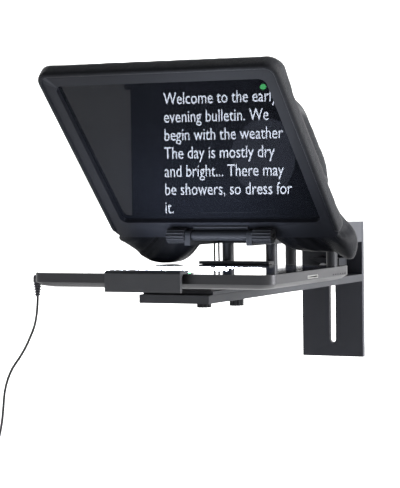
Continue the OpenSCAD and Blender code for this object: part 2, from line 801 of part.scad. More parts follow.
module volume_rocker() {
    color("#c3c3c6") block([-83.6, tablet_rear - 3.2, jack_z - 1.3],
                           [-64.4, tablet_rear + 0.9, jack_z + 1.3]);
}

module lock_switch() {
    color("#c3c3c6") block([-53.7, tablet_rear - 3.2, jack_z - 1.3],
                           [-50.3, tablet_rear + 0.9, jack_z + 1.3]);
}

module sleep_button() {
    color("#c3c3c6") block([-tablet_l / 2 - 0.9, tablet_rear - 35.6, jack_z - 1.3],
                           [-tablet_l / 2 + 3.2, tablet_rear - 25.4, jack_z + 1.3]);
}

// ---------- lead ----------

// Right-angle plug: pin along X, ribbed body hanging down
module lead_plug() {
    color("#46444f") {
        translate([0, plug_y, jack_z]) {
            bar_x(1.75, plug_x - 4, plug_x + 13.5);
            bar_x(3.4, plug_x - 7, plug_x - 0.3);
        }
        translate([cord_x, plug_y, 13]) cylinder(r = 4, h = jack_z + 3.5 - 13);
        for (z = [9.5, 11.5]) translate([cord_x, plug_y, z]) cylinder(r = 3.6 - (11.5 - z) * 0.25, h = 1.2);
        translate([cord_x, plug_y, 7]) cylinder(r = 2.4, h = 7);
    }
}

module lead_cord() {
    color("#2b2a2c") tube(lead_route, lead_d, 2);
}

module lead_coil() {
    color("#2b2a2c") translate([coil_x, plug_y, coil_z]) rotate([90, 0, 0]) rotate_extrude()
        translate([coil_in_r, -coil_len / 2]) square([coil_out_r - coil_in_r, coil_len]);
}

// Band around the coil's windings on one side
module coil_tie() {
    gap = 0.2;
    band = 1;
    color("#18181a") translate([coil_x + coil_mid_r, plug_y, coil_z]) difference() {
        cube([coil_out_r - coil_in_r + 2 * (gap + band + 0.5), coil_len + 2 * (gap + band), 6], center = true);
        cube([coil_out_r - coil_in_r + 2 * (gap + 0.5), coil_len + 2 * gap, 9], center = true);
    }
}

module lead_tail() {
    color("#2b2a2c") tube(tail_route, lead_d, 1);
}

// Straight plug on the lead's far end, pin down
module far_plug() {
    p = tail_route[3];
    color("#46444f") translate([p[0], p[1], p[2]]) {
        translate([0, 0, -7]) cylinder(r = 2.4, h = 7);
        translate([0, 0, -21]) cylinder(r = 4, h = 14.5);
    }
    color("#c9c2a8") translate([p[0], p[1], p[2] - 35]) {
        translate([0, 0, 1.5]) cylinder(r = 1.75, h = 13);
        cylinder(r1 = 0.8, r2 = 1.75, h = 1.6);
    }
}

base_rail();
tripod_inserts();
tray_plate();
tray_screws();
front_clamp();
front_clamp_pad();
rear_clamp();
rear_clamp_pad();
clamp_guide_screws();
front_clamp_screw();
rear_clamp_screw();
front_posts();
rear_posts();
rear_post_caps();
post_screws();
mirror_bracket();
bracket_screws();
hinge_rod();
tilt_knob_right();
tilt_knob_left();
hinge_plate();
mirror_frame();
mirror_glass();
glass_gasket();
glass_retainer();
retainer_screws();
hood();
hood_board();
board_screws();
lens_sleeve();
drawstring_left();
drawstring_right();
string_knots();
camera_platform();
riser_plate();
riser_screws();
riser_block();
riser_stud();
riser_washer();
riser_knob();
camera_washer();
camera_screw();
tablet_shell();
tablet_battery();
tablet_board();
tablet_display();
tablet_glass();
tablet_dock_port();
tablet_jack();
home_button();
volume_rocker();
sleep_button();
lock_switch();
lead_plug();
lead_cord();
lead_coil();
coil_tie();
lead_tail();
far_plug();
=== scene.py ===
import math
import bpy
import numpy as np
from mathutils import Matrix, Vector, noise
from mathutils.bvhtree import BVHTree


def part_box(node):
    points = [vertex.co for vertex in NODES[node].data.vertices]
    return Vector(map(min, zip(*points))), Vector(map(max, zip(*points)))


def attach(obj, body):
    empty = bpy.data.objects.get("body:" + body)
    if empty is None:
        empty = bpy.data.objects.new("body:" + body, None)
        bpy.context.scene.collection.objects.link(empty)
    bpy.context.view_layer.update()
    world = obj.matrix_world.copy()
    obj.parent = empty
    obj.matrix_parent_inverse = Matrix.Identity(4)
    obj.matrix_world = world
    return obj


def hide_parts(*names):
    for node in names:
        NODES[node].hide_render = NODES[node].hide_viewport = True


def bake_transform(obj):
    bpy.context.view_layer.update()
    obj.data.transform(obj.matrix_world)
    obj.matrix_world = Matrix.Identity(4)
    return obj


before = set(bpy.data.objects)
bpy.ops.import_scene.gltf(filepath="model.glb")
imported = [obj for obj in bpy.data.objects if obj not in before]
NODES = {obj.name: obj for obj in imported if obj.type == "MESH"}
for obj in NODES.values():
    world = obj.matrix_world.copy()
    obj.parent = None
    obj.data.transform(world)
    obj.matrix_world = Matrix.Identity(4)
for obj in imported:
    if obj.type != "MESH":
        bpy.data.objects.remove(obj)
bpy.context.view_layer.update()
MM = 0.001


# ---------- camera ----------

CAMERA_PLACE = Vector((0.7811, -1.7492, 0.1144))
CAMERA_TURN, CAMERA_TIP, CAMERA_ROLL = 25.70, -1.95, -0.74
CAMERA_LENS = 139.9


def make_camera():
    """Looks along +Y, turned to the left, tipped a little down and rolled, all in degrees."""
    turn, tip, roll = (math.radians(a) for a in (CAMERA_TURN, CAMERA_TIP, CAMERA_ROLL))
    forward = Vector((-math.sin(turn) * math.cos(tip), math.cos(turn) * math.cos(tip), math.sin(tip)))
    right = Vector((math.cos(turn), math.sin(turn), 0))
    up = right.cross(forward)
    across = math.cos(roll) * right + math.sin(roll) * up
    above = -math.sin(roll) * right + math.cos(roll) * up
    data = bpy.data.cameras.new("camera")
    data.sensor_width = 36
    data.lens = CAMERA_LENS
    data.clip_start, data.clip_end = 0.05, 60
    cam = bpy.data.objects.new("camera", data)
    m = Matrix((across, above, -forward)).transposed().to_4x4()
    m.translation = CAMERA_PLACE
    cam.matrix_world = m
    bpy.context.scene.collection.objects.link(cam)
    bpy.context.scene.camera = cam


make_camera()


# ---------- materials ----------

# A flat face has a pointiness of 0.5. These ends of the mapped range start the lightened edges, partly rubbed
# wear and partly painted highlight, just above it.
RUB_AND_HIGHLIGHT_LOW, RUB_AND_HIGHLIGHT_HIGH = -6.1, 5.9


def nodes_of(name):
    m = bpy.data.materials.new(name)
    m.use_nodes = True
    nt = m.node_tree
    return m, nt, nt.nodes["Principled BSDF"]


def add(nt, kind, **values):
    """Adds a node; each value goes to the socket of that name, or else to the node's own setting."""
    n = nt.nodes.new(kind)
    for k, v in values.items():
        if k in n.inputs:
            n.inputs[k].default_value = v
        else:
            setattr(n, k, v)
    return n


def mapped(nt, source, low, high):
    """Stretches a 0 to 1 signal to the range from low to high."""
    r = add(nt, "ShaderNodeMapRange")
    r.inputs["To Min"].default_value = low
    r.inputs["To Max"].default_value = high
    nt.links.new(source, r.inputs["Value"])
    return r.outputs["Result"]


def two_colours(nt, source, a, b, low=0.3, high=0.7):
    """Colour a up to low and colour b from high."""
    ramp = add(nt, "ShaderNodeValToRGB")
    for stop, place, colour in zip(ramp.color_ramp.elements, (low, high), (a, b)):
        stop.position = place
        stop.color = (*colour, 1)
    nt.links.new(source, ramp.inputs["Fac"])
    return ramp.outputs["Color"]


def surface(name, colour, rough, metal=0.0, vary=0.18, blotch=35.0, grain=1800.0, bump=0.12, depth=0.15,
            stretch=(1, 1, 1), spec=0.5, sheen=0.0, edge_wear_and_highlight=0.0, rough_vary=0.08):
    """Solid material: blotched colour and gloss, fine grain in the bump, and, when asked for, lighter convex
    edges that are partly rubbed wear and partly a painted highlight.

    depth is in millimetres. blotch and grain are the noises' scales, and stretch draws the grain out."""
    m, nt, bsdf = nodes_of(name)
    coord = add(nt, "ShaderNodeTexCoord").outputs["Object"]
    scaled = add(nt, "ShaderNodeMapping")
    scaled.inputs["Scale"].default_value = stretch
    nt.links.new(coord, scaled.inputs["Vector"])
    broad = add(nt, "ShaderNodeTexNoise", Scale=blotch, Detail=5.0, Roughness=0.6)
    fine = add(nt, "ShaderNodeTexNoise", Scale=grain, Detail=3.0, Roughness=0.55)
    nt.links.new(coord, broad.inputs["Vector"])
    nt.links.new(scaled.outputs["Vector"], fine.inputs["Vector"])
    dark = tuple(c * (1 - vary) for c in colour)
    light = tuple(min(1, c * (1 + vary)) for c in colour)
    shade = two_colours(nt, broad.outputs["Fac"], dark, light)
    # Painted highlight mixed with rubbed wear: the colour is lightened wherever the surface bends outward at
    # an edge.
    if edge_wear_and_highlight:
        geo = add(nt, "ShaderNodeNewGeometry")
        edge = mapped(nt, geo.outputs["Pointiness"], RUB_AND_HIGHLIGHT_LOW, RUB_AND_HIGHLIGHT_HIGH)
        mix = add(nt, "ShaderNodeMix", data_type="RGBA")
        worn_and_lit = tuple(min(1, c * 2.2 + edge_wear_and_highlight) for c in colour)
        mix.inputs["B"].default_value = (*worn_and_lit, 1)
        nt.links.new(edge, mix.inputs["Factor"])
        nt.links.new(shade, mix.inputs["A"])
        shade = mix.outputs["Result"]
    nt.links.new(shade, bsdf.inputs["Base Color"])
    gloss = mapped(nt, broad.outputs["Fac"], rough - rough_vary, rough + rough_vary)
    nt.links.new(gloss, bsdf.inputs["Roughness"])
    b = add(nt, "ShaderNodeBump", Strength=bump, Distance=depth * MM)
    nt.links.new(fine.outputs["Fac"], b.inputs["Height"])
    nt.links.new(b.outputs["Normal"], bsdf.inputs["Normal"])
    bsdf.inputs["Metallic"].default_value = metal
    bsdf.inputs["Specular IOR Level"].default_value = spec
    bsdf.inputs["Sheen Weight"].default_value = sheen
    bsdf.inputs["Sheen Roughness"].default_value = 0.4
    return m


def woven(name, colour, thread, rough, sheen, depth=0.12, vary=0.25, spec=0.4):
    """Cloth with soft creases, whose threads follow the piece's own map. The map and thread are in metres."""
    m, nt, bsdf = nodes_of(name)
    uv = add(nt, "ShaderNodeTexCoord").outputs["UV"]
    coord = add(nt, "ShaderNodeTexCoord").outputs["Object"]
    heights = []
    for direction in ("X", "Y"):
        wave = add(nt, "ShaderNodeTexWave", Scale=0.5 / thread, Distortion=0.6, Detail=1.0)
        wave.inputs["Detail Scale"].default_value = 2.0
        wave.bands_direction = direction
        nt.links.new(uv, wave.inputs["Vector"])
        heights.append(wave.outputs["Fac"])
    weave = add(nt, "ShaderNodeMath", operation="MULTIPLY")
    nt.links.new(heights[0], weave.inputs[0])
    nt.links.new(heights[1], weave.inputs[1])
    broad = add(nt, "ShaderNodeTexNoise", Scale=28.0, Detail=6.0, Roughness=0.65)
    nt.links.new(coord, broad.inputs["Vector"])
    slub = add(nt, "ShaderNodeTexNoise", Scale=500.0, Detail=2.0)
    nt.links.new(coord, slub.inputs["Vector"])
    dark = tuple(c * (1 - vary) for c in colour)
    light = tuple(c * (1 + vary) for c in colour)
    base = two_colours(nt, broad.outputs["Fac"], dark, light)
    mix = add(nt, "ShaderNodeMix", data_type="RGBA", blend_type="MULTIPLY")
    mix.inputs["Factor"].default_value = 0.45
    nt.links.new(base, mix.inputs["A"])
    nt.links.new(two_colours(nt, weave.outputs["Value"], (0.45,) * 3, (1.0,) * 3, 0.0, 0.8), mix.inputs["B"])
    nt.links.new(mix.outputs["Result"], bsdf.inputs["Base Color"])
    nt.links.new(mapped(nt, slub.outputs["Fac"], rough - 0.08, rough + 0.08), bsdf.inputs["Roughness"])
    crease = add(nt, "ShaderNodeTexNoise", Scale=42.0, Detail=4.0, Roughness=0.5, Distortion=1.4)
    nt.links.new(coord, crease.inputs["Vector"])
    soft = add(nt, "ShaderNodeBump", Strength=0.45, Distance=1.6 * MM)
    nt.links.new(crease.outputs["Fac"], soft.inputs["Height"])
    b = add(nt, "ShaderNodeBump", Strength=0.5, Distance=depth * MM)
    nt.links.new(weave.outputs["Value"], b.inputs["Height"])
    nt.links.new(soft.outputs["Normal"], b.inputs["Normal"])
    nt.links.new(b.outputs["Normal"], bsdf.inputs["Normal"])
    bsdf.inputs["Sheen Weight"].default_value = sheen
    bsdf.inputs["Sheen Roughness"].default_value = 0.35
    bsdf.inputs["Specular IOR Level"].default_value = spec
    return m


def glass(name, tint, coat):
    """Dark clear body with a little haze; the coat is what reflects."""
    m, nt, bsdf = nodes_of(name)
    coord = add(nt, "ShaderNodeTexCoord").outputs["Object"]
    haze = add(nt, "ShaderNodeTexNoise", Scale=14.0, Detail=4.0)
    nt.links.new(coord, haze.inputs["Vector"])
    nt.links.new(mapped(nt, haze.outputs["Fac"], 0.0, 0.004), bsdf.inputs["Roughness"])
    shade = two_colours(nt, haze.outputs["Fac"], tint, tuple(c * 1.06 for c in tint))
    nt.links.new(shade, bsdf.inputs["Base Color"])
    bsdf.inputs["Transmission Weight"].default_value = 0.6
    bsdf.inputs["IOR"].default_value = 1.0
    bsdf.inputs["Coat Weight"].default_value = coat
    bsdf.inputs["Coat IOR"].default_value = 1.5
    bsdf.inputs["Coat Roughness"].default_value = 0.0
    return m


def glowing(name, colour, strength, base):
    """Lit part of the picture, with a fine dot pattern; base is its colour when unlit."""
    m, nt, bsdf = nodes_of(name)
    coord = add(nt, "ShaderNodeTexCoord").outputs["Object"]
    dots = add(nt, "ShaderNodeTexNoise", Scale=900.0, Detail=1.0)
    nt.links.new(coord, dots.inputs["Vector"])
    shade = two_colours(nt, dots.outputs["Fac"], tuple(c * 0.94 for c in colour), colour)
    nt.links.new(shade, bsdf.inputs["Emission Color"])
    bsdf.inputs["Emission Strength"].default_value = strength
    unlit = two_colours(nt, dots.outputs["Fac"], base, tuple(c * 1.2 for c in base))
    nt.links.new(unlit, bsdf.inputs["Base Color"])
    bsdf.inputs["Roughness"].default_value = 0.06
    return m


GLASS_TINT = (0.021, 0.0235, 0.031)
BLACK_METAL = (0.014, 0.015, 0.019)
# Each edge value below lightens convex edges: partly rubbed wear, partly a painted highlight.
MAT = {
    "anodised": surface("anodised_black", BLACK_METAL, 0.5, metal=0.05, grain=2600, bump=0.2, edge_wear_and_highlight=0.04,
                        blotch=18, spec=0.18),
    "plate": surface("anodised_plate", (0.013, 0.0145, 0.022), 0.45, metal=0.25, grain=2400, bump=0.22,
                     edge_wear_and_highlight=0.05, blotch=14),
    "clamp": surface("clamp_paint", (0.016, 0.017, 0.021), 0.50, grain=1300, bump=0.35, depth=0.2,
                     edge_wear_and_highlight=0.04),
    "frame": surface("frame_paint", (0.008, 0.009, 0.013), 0.5, spec=0.2, grain=1500, bump=0.3, depth=0.15,
                     edge_wear_and_highlight=0.03, blotch=22),
    "bracket": surface("bracket_black", (0.010, 0.011, 0.014), 0.5, spec=0.22, grain=2200, bump=0.2,
                       edge_wear_and_highlight=0.04),
    "post": surface("post_black", BLACK_METAL, 0.36, metal=0.1, spec=0.35, grain=700,
                    stretch=(1, 1, 0.02), bump=0.15, edge_wear_and_highlight=0.03),
    "steel": surface("screw_steel", (0.42, 0.42, 0.43), 0.34, metal=1.0, grain=1500, bump=0.15, vary=0.12),
    "turned": surface("turned_steel", (0.50, 0.50, 0.52), 0.28, metal=1.0, grain=900, stretch=(0.02, 1, 1),
                      bump=0.2, vary=0.1),
    "rubber": surface("rubber", (0.016, 0.016, 0.017), 0.78, grain=2200, bump=0.3, vary=0.25),
    "foam": surface("foam_pad", (0.014, 0.014, 0.016), 0.92, grain=1100, bump=0.9, depth=0.35, vary=0.35,
                    sheen=0.1),
    "knob": surface("knob_plastic", (0.009, 0.0095, 0.012), 0.55, spec=0.22, grain=1700, bump=0.3,
                    edge_wear_and_highlight=0.03),
    "board": surface("board_black", (0.012, 0.012, 0.014), 0.62, grain=1500, bump=0.35, vary=0.25),
    "tablet": surface("tablet_metal", (0.075, 0.075, 0.08), 0.36, metal=0.9, grain=3200, bump=0.12,
                      vary=0.05, blotch=10, rough_vary=0.03),
    "dark_metal": surface("button_metal", (0.12, 0.12, 0.124), 0.3, metal=0.9, grain=3000, bump=0.1,
                          vary=0.06),
    "screen": surface("cover_glass", (0.006, 0.006, 0.008), 0.06, grain=60, bump=0.01, vary=0.3, blotch=9,
                      rough_vary=0.02),
    "cell": surface("battery_foil", (0.06, 0.06, 0.065), 0.4, metal=0.5, grain=500, bump=0.2),
    "circuit": surface("circuit_board", (0.012, 0.07, 0.04), 0.45, grain=900, bump=0.5, vary=0.5,
                       blotch=220),
    "port": surface("port_steel", (0.55, 0.55, 0.54), 0.3, metal=1.0, grain=1500, bump=0.1),
    "lead": surface("lead_rubber", (0.022, 0.022, 0.024), 0.46, grain=1900, bump=0.25, vary=0.2),
    "plug": surface("plug_plastic", (0.050, 0.048, 0.060), 0.5, grain=1600, bump=0.3, vary=0.15),
    "gilt": surface("plug_contact", (0.62, 0.56, 0.42), 0.22, metal=1.0, grain=1200, bump=0.05, vary=0.08),
    "string": surface("braided_string", (0.010, 0.010, 0.011), 0.85, grain=1500, bump=0.9, depth=0.25,
                      vary=0.4, sheen=0.2),
    "tie": surface("hook_tie", (0.012, 0.012, 0.013), 0.9, grain=1700, bump=1.0, depth=0.3, vary=0.4,
                   sheen=0.3),
    "thread": surface("stitch_thread", (0.030, 0.030, 0.034), 0.7, grain=2600, bump=0.5, vary=0.2,
                      sheen=0.3),
    "hood": woven("hood_cloth", (0.0095, 0.0105, 0.0145), 0.0011, rough=0.5, sheen=0.045, spec=0.19),
    "sleeve": woven("sleeve_cloth", (0.016, 0.016, 0.018), 0.0009, rough=0.75, sheen=0.25),
    "mirror": glass("glass_body", GLASS_TINT, coat=0.0),
    "mirror_face": glass("glass_coated_face", GLASS_TINT, coat=0.4),
    "text": glowing("lit_letters", (0.80, 0.86, 1.0), 40.0, (0.6, 0.65, 0.8)),
    "dark_screen": glowing("lit_background", (0.012, 0.015, 0.026), 0.5, (0.004, 0.004, 0.006)),
    "green": glowing("lit_mark", (0.10, 0.62, 0.20), 27.0, (0.1, 0.6, 0.2)),
}

CAD_LOOK = {
    "base_rail": "anodised", "tripod_inserts": "turned", "tray_plate": "anodised", "tray_screws": "steel",
    "front_clamp": "clamp", "rear_clamp": "clamp", "clamp_guide_screws": "steel",
    "front_clamp_screw": "knob", "rear_clamp_screw": "knob", "front_posts": "post", "rear_posts": "post",
    "rear_post_caps": "rubber", "post_screws": "steel", "mirror_bracket": "bracket",
    "bracket_screws": "steel", "hinge_rod": "turned", "tilt_knob_right": "knob", "tilt_knob_left": "knob",
    "hinge_plate": "bracket", "mirror_frame": "frame", "glass_gasket": "rubber",
    "glass_retainer": "frame", "retainer_screws": "steel", "hood_board": "board", "board_screws": "steel",
    "camera_platform": "plate", "riser_plate": "plate", "riser_screws": "steel", "riser_block": "anodised",
    "riser_stud": "turned", "riser_washer": "steel", "riser_knob": "knob", "camera_washer": "rubber",
    "camera_screw": "turned", "tablet_shell": "tablet", "tablet_battery": "cell", "tablet_board": "circuit",
    "tablet_display": "dark_screen", "tablet_glass": "screen", "tablet_dock_port": "port",
    "tablet_jack": "rubber", "home_button": "screen", "volume_rocker": "dark_metal",
    "sleep_button": "dark_metal", "lock_switch": "dark_metal", "coil_tie": "tie",
}
# Width of each node's rounded edges, in millimetres
EDGE = {"base_rail": 0.5, "tray_plate": 0.4, "front_clamp": 0.7, "rear_clamp": 0.7, "mirror_frame": 0.9,
        "hinge_plate": 0.4, "mirror_bracket": 0.6, "camera_platform": 0.6, "riser_plate": 0.6,
        "riser_block": 0.5, "hood_board": 0.5, "front_clamp_screw": 0.35, "rear_clamp_screw": 0.35,
        "tilt_knob_right": 0.35, "tilt_knob_left": 0.35, "riser_knob": 0.6, "camera_screw": 0.35,
        "tablet_shell": 0.25, "rear_post_caps": 0.4, "coil_tie": 0.35, "tablet_glass": 0.15,
        "riser_screws": 0.3, "board_screws": 0.25, "tray_screws": 0.25, "post_screws": 0.25,
        "volume_rocker": 0.3, "sleep_button": 0.3, "lock_switch": 0.2, "tablet_dock_port": 0.15,
        "glass_retainer": 0.3, "front_posts": 0.3, "rear_posts": 0.3}
SMALL_EDGE = 0.12
SHARP = math.radians(34)
SAME_POINT = 2e-6


def dress_cad():
    """Gives each CAD node its material and fine rounded edges that catch the light."""
    for name, look in CAD_LOOK.items():
        o = NODES[name]
        o.data.materials.clear()
        o.data.materials.append(MAT[look])
        o.data.polygons.foreach_set("use_smooth", [True] * len(o.data.polygons))
        if "custom_normal" in o.data.attributes:
            o.data.attributes.remove(o.data.attributes["custom_normal"])
        weld = o.modifiers.new("weld", "WELD")
        weld.merge_threshold = SAME_POINT
        bevel = o.modifiers.new("bevel", "BEVEL")
        bevel.width = EDGE.get(name, SMALL_EDGE) * MM
        bevel.segments = 2
        bevel.limit_method = "ANGLE"
        bevel.angle_limit = SHARP
        bevel.harden_normals = True
        bevel.use_clamp_overlap = True


# ---------- mesh helpers ----------

def piece(name, verts, faces, look, body, smooth=True, uv=None):
    """Makes a mesh piece that rides on body; uv is one point of the cloth map for each vertex."""
    mesh = bpy.data.meshes.new(name)
    mesh.from_pydata([tuple(v) for v in verts], [], faces)
    mesh.validate()
    mesh.polygons.foreach_set("use_smooth", [smooth] * len(mesh.polygons))
    if uv is not None:
        layer = mesh.uv_layers.new(name="metres")
        for loop in mesh.loops:
            layer.data[loop.index].uv = uv[loop.vertex_index]
    mesh.materials.append(MAT[look])
    o = bpy.data.objects.new(name, mesh)
    bpy.context.scene.collection.objects.link(o)
    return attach(o, body)


def soften(o, thickness=0.0):
    """One subdivision, over a cloth's thickness where it has one."""
    if thickness:
        thick = o.modifiers.new("thickness", "SOLIDIFY")
        thick.thickness = thickness
        thick.offset = -1
    smooth = o.modifiers.new("smooth", "SUBSURF")
    smooth.levels = smooth.render_levels = 1


def ring_faces(rings, sides, offset=0):
    """Faces of a closed tube of rings, with a cap at each end."""
    faces = []
    for i in range(rings - 1):
        for k in range(sides):
            a, b = offset + i * sides + k, offset + i * sides + (k + 1) % sides
            faces.append((a, b, b + sides, a + sides))
    faces.append(tuple(offset + k for k in reversed(range(sides))))
    faces.append(tuple(offset + (rings - 1) * sides + k for k in range(sides)))
    return faces


def turned(name, shapes, look, body, sides=32):
    """Turned piece: each shape is (profile, place, axis), a profile being (along, radius) pairs in mm."""
    verts, faces = [], []
    for profile, place, axis in shapes:
        faces += ring_faces(len(profile), sides, offset=len(verts))
        for along, r in profile:
            for k in range(sides):
                a = 2 * math.pi * k / sides
                x, y, z = r * MM * math.cos(a), r * MM * math.sin(a), along * MM
                verts.append(Vector(place) + Vector((x, y, z) if axis == "Z" else (z, x, y)))
    return piece(name, verts, faces, look, body)


def gild(o, metal):
    """Puts the contact metal on the faces whose centre metal() names."""
    o.data.materials.append(MAT["gilt"])
    for poly in o.data.polygons:
        poly.material_index = int(metal(poly.center))


def spline(points, parts):
    """Smooth curve through the points, with parts steps between two of them."""
    p = [Vector(q) for q in points]
    out = []
    for i in range(len(p) - 1):
        a, b, c, d = p[max(i - 1, 0)], p[i], p[i + 1], p[min(i + 2, len(p) - 1)]
        for k in range(parts):
            t = k / parts
            out.append(0.5 * (2 * b + (c - a) * t + (2 * a - 5 * b + 4 * c - d) * t * t
                              + (3 * b - a - 3 * c + d) * t ** 3))
    return out + [p[-1]]


def cord_curve(name, points, diameter, look, body):
    data = bpy.data.curves.new(name, "CURVE")
    data.dimensions = "3D"
    data.bevel_depth = diameter / 2
    data.bevel_resolution = 3
    data.use_fill_caps = True
    line = data.splines.new("POLY")
    line.points.add(len(points) - 1)
    for q, p in zip(line.points, points):
        q.co = (*p, 1)
    line.use_smooth = True
    data.materials.append(MAT[look])
    o = bpy.data.objects.new(name, data)
    bpy.context.scene.collection.objects.link(o)
    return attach(o, body)


# ---------- lead ----------

PLUG_X, PLUG_Y, JACK_Z = -0.1214, -0.214, 0.0235
CORD_X = PLUG_X - 0.006
COIL_X, COIL_Z, COIL_R, LEAD_D = CORD_X - 0.060, -0.193, 0.0132, 0.0024
# Layer and lane of each of the coil's turns, in cord diameters from the middle of its section
COIL_TURNS = [(1, -0.5), (1, -1.5), (0, -1.5), (-1, -1.5), (-1, -0.5), (0, -0.5), (0, 0.5), (-1, 0.5),
              (-1, 1.5), (0, 1.5), (1, 1.5), (1, 0.5)]
TURN_POINTS = 24
LEAD_IN = 30
CROSS_OVER = 0.78


def lead_points():
    """The lead's whole route: down from the plug, round the coil's turns, and out to the far plug."""
    route = [(0, 7), (-0.4, 0), (-1.5, -10), (-4, -21), (-9, -32), (-15, -43), (-22, -53), (-29, -62),
             (-34.5, -73), (-38, -85), (-39.6, -98), (-41, -110), (-43.4, -122), (-47, -134), (-51.8, -144.5),
             (-56.6, -155), (-56.4, -165), (-51.4, -175)]
    down = [(CORD_X + x * MM, PLUG_Y, z * MM) for x, z in route]
    down[-2] = (down[-2][0], PLUG_Y - 0.0003, down[-2][2])
    down[-1] = (down[-1][0], PLUG_Y - 0.0008, down[-1][2])
    coil = []
    last = (len(COIL_TURNS) - 1) * TURN_POINTS + TURN_POINTS // 6
    for i in range(last + 1):
        turn, part = divmod(i, TURN_POINTS)
        angle = math.radians(LEAD_IN - 360 * i / TURN_POINTS)
        here, after = COIL_TURNS[turn], COIL_TURNS[min(turn + 1, len(COIL_TURNS) - 1)]
        t = max(0.0, (part / TURN_POINTS - CROSS_OVER) / (1 - CROSS_OVER))
        t = t * t * (3 - 2 * t)
        layer = here[0] + (after[0] - here[0]) * t
        lane = here[1] + (after[1] - here[1]) * t
        r = COIL_R + layer * LEAD_D
        coil.append((COIL_X + r * math.cos(angle), PLUG_Y + lane * LEAD_D, COIL_Z + r * math.sin(angle)))
    tail = [(COIL_X + x * MM, PLUG_Y + y * MM, COIL_Z + z * MM)
            for x, y, z in ((11.8, 0.6, -12.2), (10.5, 0.2, -17.5), (10.0, 0, -24.2))]
    start = spline(down, 2)[:-1]
    bridge = spline([down[-2], down[-1], coil[0], coil[1]], 3)[3:7]
    finish = spline([coil[-2], coil[-1], *tail], 3)[4:]
    return start + bridge[:-1] + [Vector(c) for c in coil] + finish


PIN = [(-4, 0.2), (-4, 1.75), (13.0, 1.75), (13.5, 1.2), (13.5, 0.1)]
COLLAR = [(-8.5, 0.1), (-8.5, 2.6), (-7.6, 3.2), (-6, 3.4), (-1.2, 3.4), (-0.5, 3.1), (-0.3, 2.6),
          (-0.3, 0.1)]
FAR_BODY = [(1.2, 0.1), (1.2, 1.5), (0.4, 2.0), (-1.2, 2.0), (-1.5, 1.6), (-2.2, 1.6), (-2.5, 2.3),
            (-3.7, 2.3), (-4.0, 1.8), (-4.7, 1.8), (-5.0, 2.6), (-6.3, 2.8), (-6.8, 3.6), (-7.6, 4.0),
            (-19.8, 4.0), (-20.8, 3.5), (-21, 2.6), (-21, 0.1)]
FAR_PIN = [(-20.5, 0.1), (-20.5, 1.75), (-24.6, 1.75), (-24.7, 1.65), (-25.2, 1.65), (-25.3, 1.75),
           (-28, 1.75), (-28.1, 1.65), (-28.6, 1.65), (-28.7, 1.75), (-31.4, 1.75), (-31.9, 1.3),
           (-32.6, 1.3), (-33.4, 1.7), (-34.3, 1.2), (-35, 0.4), (-35, 0.1)]


def plug_body():
    """Right-angle plug's body, from its top down, with five ribs that taper towards the lead."""
    profile = [(27, 0.1), (27, 2.2), (26.6, 3.2), (25.6, 3.8), (24, 4.0), (20.2, 4.0), (19.6, 3.8),
               (19.4, 2.8)]
    for i in range(5):
        z, r = 18.6 - i * 2.4, 3.9 - i * 0.3
        rib = [(z, r - 0.2), (z - 0.2, r), (z - 1.0, r), (z - 1.2, r - 0.2)]
        profile += rib + [(z - 1.3, r - 1.1), (z - 2.2, r - 1.15)]
    return profile + [(6.7, 1.5), (6.5, 0.1)]


def make_lead():
    points = lead_points()
    lead = cord_curve("lead", points, LEAD_D, "lead", "chassis")
    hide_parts("lead_cord", "lead_coil", "lead_tail")

    jack = (PLUG_X, PLUG_Y, JACK_Z)
    shapes = [(PIN, jack, "X"), (COLLAR, jack, "X"), (plug_body(), (CORD_X, PLUG_Y, 0), "Z")]
    plug = turned("lead_plug_body", shapes, "plug", "chassis")
    gild(plug, lambda centre: centre.x > PLUG_X - 0.2 * MM)
    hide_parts("lead_plug")

    end = points[-1]
    far_end = turned("lead_far_plug", [(FAR_BODY, end, "Z"), (FAR_PIN, end, "Z")], "plug", "chassis")
    gild(far_end, lambda centre: centre.z < end.z - 21.1 * MM)
    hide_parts("far_plug")


STRING_D = 0.0018
STRING_ROUTES = {
    "left": [(-43.8, 9, 121), (-46.6, 9, 116), (-48, 9, 108), (-48.4, 9, 96), (-48.2, 8.6, 82),
             (-48, 8.2, 68), (-48.1, 8.1, 52), (-48.3, 8.4, 36), (-48.2, 9, 20)],
    "right": [(-39.6, 9, 113.5), (-42.2, 9, 109), (-43.4, 9, 102), (-43.7, 9, 91), (-43.5, 8.7, 78),
              (-43.2, 8.3, 66), (-43.3, 8.2, 53), (-43.5, 8.5, 40), (-43.4, 9, 27)],
}


def make_knot(name, middle):
    """Overhand knot: a tube along a trefoil."""
    around, sides, size, tube = 72, 10, 0.5 * MM, 0.62 * MM
    path = []
    for i in range(around):
        t = 2 * math.pi * i / around
        path.append(middle + size * Vector((math.sin(t) + 2 * math.sin(2 * t), -1.3 * math.sin(3 * t),
                                            math.cos(t) - 2 * math.cos(2 * t))))
    verts = []
    for i in range(around):
        ahead = (path[(i + 1) % around] - path[i - 1]).normalized()
        side = ahead.cross(Vector((0.3, 1, 0.2))).normalized()
        other = side.cross(ahead)
        for k in range(sides):
            a = 2 * math.pi * k / sides
            verts.append(path[i] + tube * (math.cos(a) * side + math.sin(a) * other))
    faces = [(i * sides + k, i * sides + (k + 1) % sides, ((i + 1) % around) * sides + (k + 1) % sides,
              ((i + 1) % around) * sides + k) for i in range(around) for k in range(sides)]
    knot = piece(name, verts, faces, "string", "chassis")
    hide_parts("string_knots")
    return knot


def make_strings():
    for name, route in STRING_ROUTES.items():
        points = spline([Vector(p) * MM for p in route], 3)
        string = cord_curve("string_" + name, points, STRING_D, "string", "chassis")
        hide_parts("drawstring_" + name)
        knot = make_knot("string_knot_" + name, Vector(route[-1]) * MM - Vector((0, 0, 1.7 * MM)))


make_lead()
make_strings()
dress_cad()


# ---------- hood ----------

